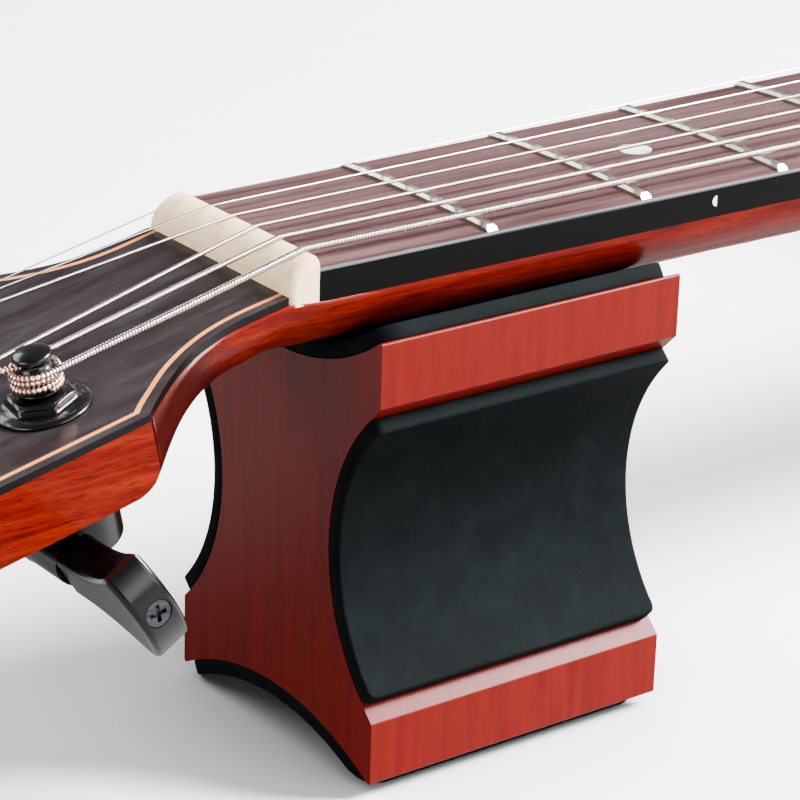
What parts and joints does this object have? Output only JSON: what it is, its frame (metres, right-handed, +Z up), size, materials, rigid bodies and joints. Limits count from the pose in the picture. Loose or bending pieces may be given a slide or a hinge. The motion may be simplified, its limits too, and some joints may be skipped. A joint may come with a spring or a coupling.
{
  "type": "guitar on stand",
  "caption": "Acoustic steel-string guitar lying on its back with its neck cradled in a padded four-sided wooden neck rest; geared tuners turn and the guitar lifts off.",
  "frame": {"origin": "on the floor, below the middle of the bounding box", "axes": "+X along the neck from the headstock to the tail, -Y is the bass side, +Z up"},
  "size_m": [1.0312, 0.38, 0.1053],
  "materials": {
    "rest_wood": "gloss stained hardwood",
    "pad_rubber": "matt mottled",
    "mahogany": "high gloss",
    "rosewood": "satin",
    "spruce": "gloss",
    "inner_spruce": "sanded",
    "peach_line": "polished",
    "fret_metal": "polished nickel silver",
    "ivory": "semi-gloss",
    "pearl": "pearl",
    "steel": "brushed",
    "black_hardware": "gloss black",
    "black_plastic": "semi-gloss black",
    "worm_steel": "machined",
    "bronze_wire": "wound bronze",
    "plain_steel_wire": "drawn"
  },
  "bodies": {
    "neck_rest": {"rest_block": "rest_wood", "pad_top": "pad_rubber", "pad_bottom": "pad_rubber", "pad_near": "pad_rubber", "pad_far": "pad_rubber"},
    "guitar": {"neck": "mahogany", "headstock_overlay": "rosewood", "headstock_purfling": "peach_line", "fretboard": "rosewood", "frets": "fret_metal", "nut": "ivory", "inlay_dots": "pearl", "truss_rod": "steel", "soundboard": "spruce", "back_plate": "mahogany", "rim": "mahogany", "bindings": "peach_line", "linings": "inner_spruce", "end_blocks": "inner_spruce", "braces": "inner_spruce", "bridge": "rosewood", "saddle": "ivory", "bridge_pins": "ivory", "pickguard": "black_plastic", "rosette": "peach_line", "end_pin": "black_plastic", "heel_cap": "mahogany", "tuner_housings": "black_hardware", "tuner_bushings": "black_hardware", "tuner_screws": "steel", "low_e_string": "bronze_wire", "a_string": "bronze_wire", "d_string": "bronze_wire", "g_string": "bronze_wire", "b_string": "plain_steel_wire", "high_e_string": "plain_steel_wire"},
    "low_e_key": {"low_e_button": "black_plastic", "low_e_worm": "worm_steel"},
    "low_e_capstan": {"low_e_post": "black_hardware", "low_e_coil": "bronze_wire"},
    "a_key": {"a_button": "black_plastic", "a_worm": "worm_steel"},
    "a_capstan": {"a_post": "black_hardware", "a_coil": "bronze_wire"},
    "d_key": {"d_button": "black_plastic", "d_worm": "worm_steel"},
    "d_capstan": {"d_post": "black_hardware", "d_coil": "bronze_wire"},
    "g_key": {"g_button": "black_plastic", "g_worm": "worm_steel"},
    "g_capstan": {"g_post": "black_hardware", "g_coil": "bronze_wire"},
    "b_key": {"b_button": "black_plastic", "b_worm": "worm_steel"},
    "b_capstan": {"b_post": "black_hardware", "b_coil": "plain_steel_wire"},
    "high_e_key": {"high_e_button": "black_plastic", "high_e_worm": "worm_steel"},
    "high_e_capstan": {"high_e_post": "black_hardware", "high_e_coil": "plain_steel_wire"}
  },
  "joints": [
    {"name": "guitar_lift", "type": "slide", "parent": "neck_rest", "child": "guitar", "axis": [0, 0, 1], "range_m": [0, 0.12]},
    {"name": "low_e_key_turn", "type": "hinge", "parent": "guitar", "child": "low_e_key", "pos_m": [-0.40099, -0.0195, 0.06325], "axis": [0, -1, 0], "range_deg": [-720, 720]},
    {"name": "low_e_capstan_turn", "type": "hinge", "parent": "guitar", "child": "low_e_capstan", "pos_m": [-0.39941, -0.0195, 0.08464], "axis": [-0.2079, 0, 0.9781], "range_deg": [-40, 40]},
    {"name": "a_key_turn", "type": "hinge", "parent": "guitar", "child": "a_key", "pos_m": [-0.43816, -0.0208, 0.05534], "axis": [0, -1, 0], "range_deg": [-720, 720]},
    {"name": "a_capstan_turn", "type": "hinge", "parent": "guitar", "child": "a_capstan", "pos_m": [-0.43658, -0.0208, 0.07674], "axis": [-0.2079, 0, 0.9781], "range_deg": [-40, 40]},
    {"name": "d_key_turn", "type": "hinge", "parent": "guitar", "child": "d_key", "pos_m": [-0.47533, -0.0221, 0.04744], "axis": [0, -1, 0], "range_deg": [-720, 720]},
    {"name": "d_capstan_turn", "type": "hinge", "parent": "guitar", "child": "d_capstan", "pos_m": [-0.47375, -0.0221, 0.06884], "axis": [-0.2079, 0, 0.9781], "range_deg": [-40, 40]},
    {"name": "g_key_turn", "type": "hinge", "parent": "guitar", "child": "g_key", "pos_m": [-0.47533, 0.0221, 0.04744], "axis": [0, 1, 0], "range_deg": [-720, 720]},
    {"name": "g_capstan_turn", "type": "hinge", "parent": "guitar", "child": "g_capstan", "pos_m": [-0.47375, 0.0221, 0.06884], "axis": [-0.2079, 0, 0.9781], "range_deg": [-40, 40]},
    {"name": "b_key_turn", "type": "hinge", "parent": "guitar", "child": "b_key", "pos_m": [-0.43816, 0.0208, 0.05534], "axis": [0, 1, 0], "range_deg": [-720, 720]},
    {"name": "b_capstan_turn", "type": "hinge", "parent": "guitar", "child": "b_capstan", "pos_m": [-0.43658, 0.0208, 0.07674], "axis": [-0.2079, 0, 0.9781], "range_deg": [-40, 40]},
    {"name": "high_e_key_turn", "type": "hinge", "parent": "guitar", "child": "high_e_key", "pos_m": [-0.40099, 0.0195, 0.06325], "axis": [0, 1, 0], "range_deg": [-720, 720]},
    {"name": "high_e_capstan_turn", "type": "hinge", "parent": "guitar", "child": "high_e_capstan", "pos_m": [-0.39941, 0.0195, 0.08464], "axis": [-0.2079, 0, 0.9781], "range_deg": [-40, 40]}
  ],
  "couplings": [
    {"joint": "low_e_capstan_turn", "follows": "low_e_key_turn", "ratio": 0.055556},
    {"joint": "a_capstan_turn", "follows": "a_key_turn", "ratio": 0.055556},
    {"joint": "d_capstan_turn", "follows": "d_key_turn", "ratio": 0.055556},
    {"joint": "g_capstan_turn", "follows": "g_key_turn", "ratio": 0.055556},
    {"joint": "b_capstan_turn", "follows": "b_key_turn", "ratio": 0.055556},
    {"joint": "high_e_capstan_turn", "follows": "high_e_key_turn", "ratio": 0.055556}
  ]
}
